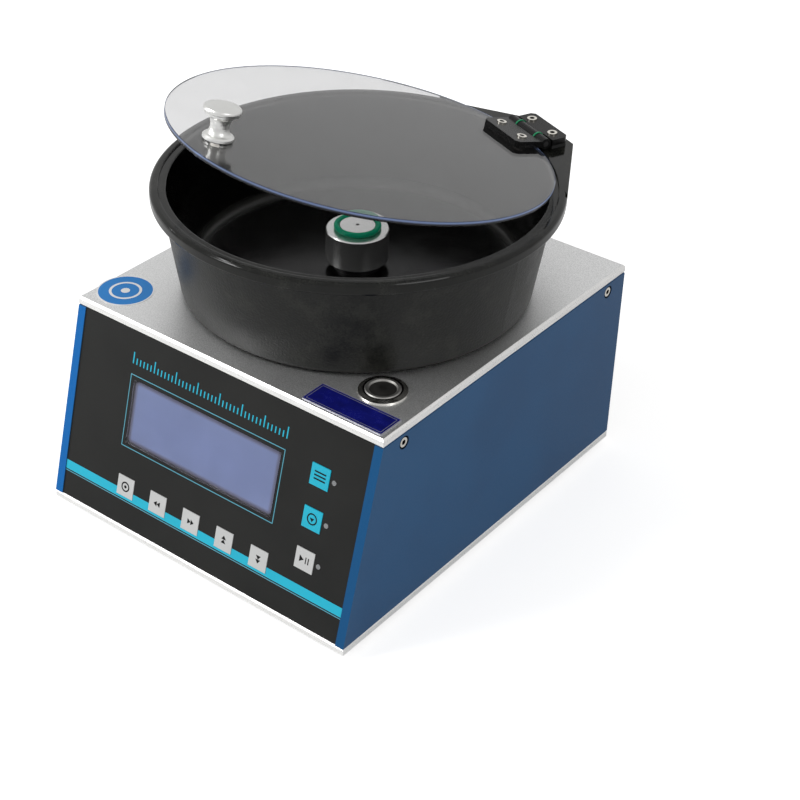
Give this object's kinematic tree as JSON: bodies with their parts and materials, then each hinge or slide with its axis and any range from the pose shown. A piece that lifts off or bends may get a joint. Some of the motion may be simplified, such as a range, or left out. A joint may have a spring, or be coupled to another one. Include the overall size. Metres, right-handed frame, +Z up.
{
  "type": "spin coater",
  "caption": "Bench-top spin coater: sloped-front metal case with display and keys, a round bowl on the deck, a vacuum chuck with a seal ring, and a clear hinged lid with a knob.",
  "frame": {"origin": "on the spin axis at bench level, under the centre of the chuck and bowl", "axes": "+Z up along the spin axis, -Y towards the sloped front panel, +X to the right as seen from the front"},
  "size_m": [0.2112, 0.2535, 0.2332],
  "materials": {
    "plate_metal": "satin",
    "blue_metal": "satin",
    "post_metal": "satin",
    "panel_black": "matte",
    "screw_steel": "satin",
    "foot_rubber": "matte",
    "window_clear": "gloss",
    "display_blue": "gloss",
    "board_green": "matte",
    "switch_black": "matte",
    "key_white": "matte",
    "key_cyan": "matte",
    "lamp_clear": "gloss",
    "button_metal": "polished",
    "nut_steel": "satin",
    "bowl_black": "gloss inside, fine texture outside",
    "bush_black": "matte",
    "hinge_black": "satin",
    "washer_green": "matte",
    "pin_steel": "satin",
    "lid_clear": "gloss",
    "knob_metal": "satin",
    "chuck_metal": "satin",
    "seal_green": "satin",
    "shaft_steel": "ground",
    "motor_metal": "satin",
    "cap_metal": "satin",
    "winding_copper": "satin",
    "rotor_dark": "matte",
    "fitting_brass": "satin",
    "tube_white": "satin",
    "valve_grey": "satin",
    "supply_metal": "satin",
    "inlet_black": "matte"
  },
  "bodies": {
    "base": {"bottom_plate": "plate_metal", "top_plate": "plate_metal", "left_side_plate": "blue_metal", "right_side_plate": "blue_metal", "corner_posts": "post_metal", "front_panel": "panel_black", "rear_panel": "panel_black", "side_screws": "screw_steel", "base_screws": "screw_steel", "feet": "foot_rubber", "display_window": "window_clear", "display_module": "display_blue", "key_board": "board_green", "key_switches": "switch_black", "indicator_lamps": "lamp_clear", "button_bezel": "button_metal", "button_nut": "nut_steel", "bowl": "bowl_black", "bowl_gasket": "foot_rubber", "bowl_screws": "screw_steel", "spindle_bush": "bush_black", "hinge_shim": "bush_black", "hinge_fixed_leaf": "hinge_black", "hinge_pin": "pin_steel", "hinge_washers": "washer_green", "hinge_fixed_screws": "screw_steel", "motor_housing": "motor_metal", "motor_end_cap": "cap_metal", "motor_stator": "winding_copper", "shaft_bearings": "shaft_steel", "motor_screws": "screw_steel", "cap_screws": "screw_steel", "rotary_union": "cap_metal", "union_fitting": "fitting_brass", "vacuum_tubes": "tube_white", "solenoid_valve": "valve_grey", "rear_barb": "fitting_brass", "control_board": "board_green", "power_supply": "supply_metal", "power_inlet": "inlet_black"},
    "spindle": {"spindle_shaft": "shaft_steel", "drive_pin": "pin_steel", "motor_rotor": "rotor_dark"},
    "chuck": {"chuck": "chuck_metal", "chuck_seal_ring": "seal_green"},
    "lid": {"lid_disc": "lid_clear", "lid_knob": "knob_metal", "knob_screw": "screw_steel", "hinge_lid_leaf": "hinge_black", "hinge_lid_screws": "screw_steel", "hinge_lid_nuts": "nut_steel"},
    "power_button": {"button_cap": "button_metal"},
    "mode_key": {"key_mode": "key_cyan"},
    "pump_key": {"key_pump": "key_cyan"},
    "run_key": {"key_run": "key_white"},
    "set_key": {"key_set": "key_white"},
    "left_key": {"key_left": "key_white"},
    "right_key": {"key_right": "key_white"},
    "up_key": {"key_up": "key_white"},
    "down_key": {"key_down": "key_white"}
  },
  "joints": [
    {"name": "lid_hinge", "type": "hinge", "parent": "base", "child": "lid", "pos_m": [0.03991, 0.09403, 0.17975], "axis": [-0.9205, 0.3907, 0], "range_deg": [-11.75, 88.25]},
    {"name": "spindle_spin", "type": "hinge", "parent": "base", "child": "spindle", "pos_m": [0, 0, 0.116], "axis": [0, 0, 1], "continuous": true},
    {"name": "chuck_lift", "type": "slide", "parent": "spindle", "child": "chuck", "axis": [0, 0, 1], "range_m": [0, 0.022]},
    {"name": "power_button_press", "type": "slide", "parent": "base", "child": "power_button", "axis": [0, 0, -1], "range_m": [0, 0.0025], "stiffness_N_per_m": 700, "springref_m": -0.002},
    {"name": "mode_key_press", "type": "slide", "parent": "base", "child": "mode_key", "axis": [0, 0.9653, -0.2611], "range_m": [0, 0.0005], "stiffness_N_per_m": 1500, "springref_m": -0.0005},
    {"name": "pump_key_press", "type": "slide", "parent": "base", "child": "pump_key", "axis": [0, 0.9653, -0.2611], "range_m": [0, 0.0005], "stiffness_N_per_m": 1500, "springref_m": -0.0005},
    {"name": "run_key_press", "type": "slide", "parent": "base", "child": "run_key", "axis": [0, 0.9653, -0.2611], "range_m": [0, 0.0005], "stiffness_N_per_m": 1500, "springref_m": -0.0005},
    {"name": "set_key_press", "type": "slide", "parent": "base", "child": "set_key", "axis": [0, 0.9653, -0.2611], "range_m": [0, 0.0005], "stiffness_N_per_m": 1500, "springref_m": -0.0005},
    {"name": "left_key_press", "type": "slide", "parent": "base", "child": "left_key", "axis": [0, 0.9653, -0.2611], "range_m": [0, 0.0005], "stiffness_N_per_m": 1500, "springref_m": -0.0005},
    {"name": "right_key_press", "type": "slide", "parent": "base", "child": "right_key", "axis": [0, 0.9653, -0.2611], "range_m": [0, 0.0005], "stiffness_N_per_m": 1500, "springref_m": -0.0005},
    {"name": "up_key_press", "type": "slide", "parent": "base", "child": "up_key", "axis": [0, 0.9653, -0.2611], "range_m": [0, 0.0005], "stiffness_N_per_m": 1500, "springref_m": -0.0005},
    {"name": "down_key_press", "type": "slide", "parent": "base", "child": "down_key", "axis": [0, 0.9653, -0.2611], "range_m": [0, 0.0005], "stiffness_N_per_m": 1500, "springref_m": -0.0005}
  ]
}
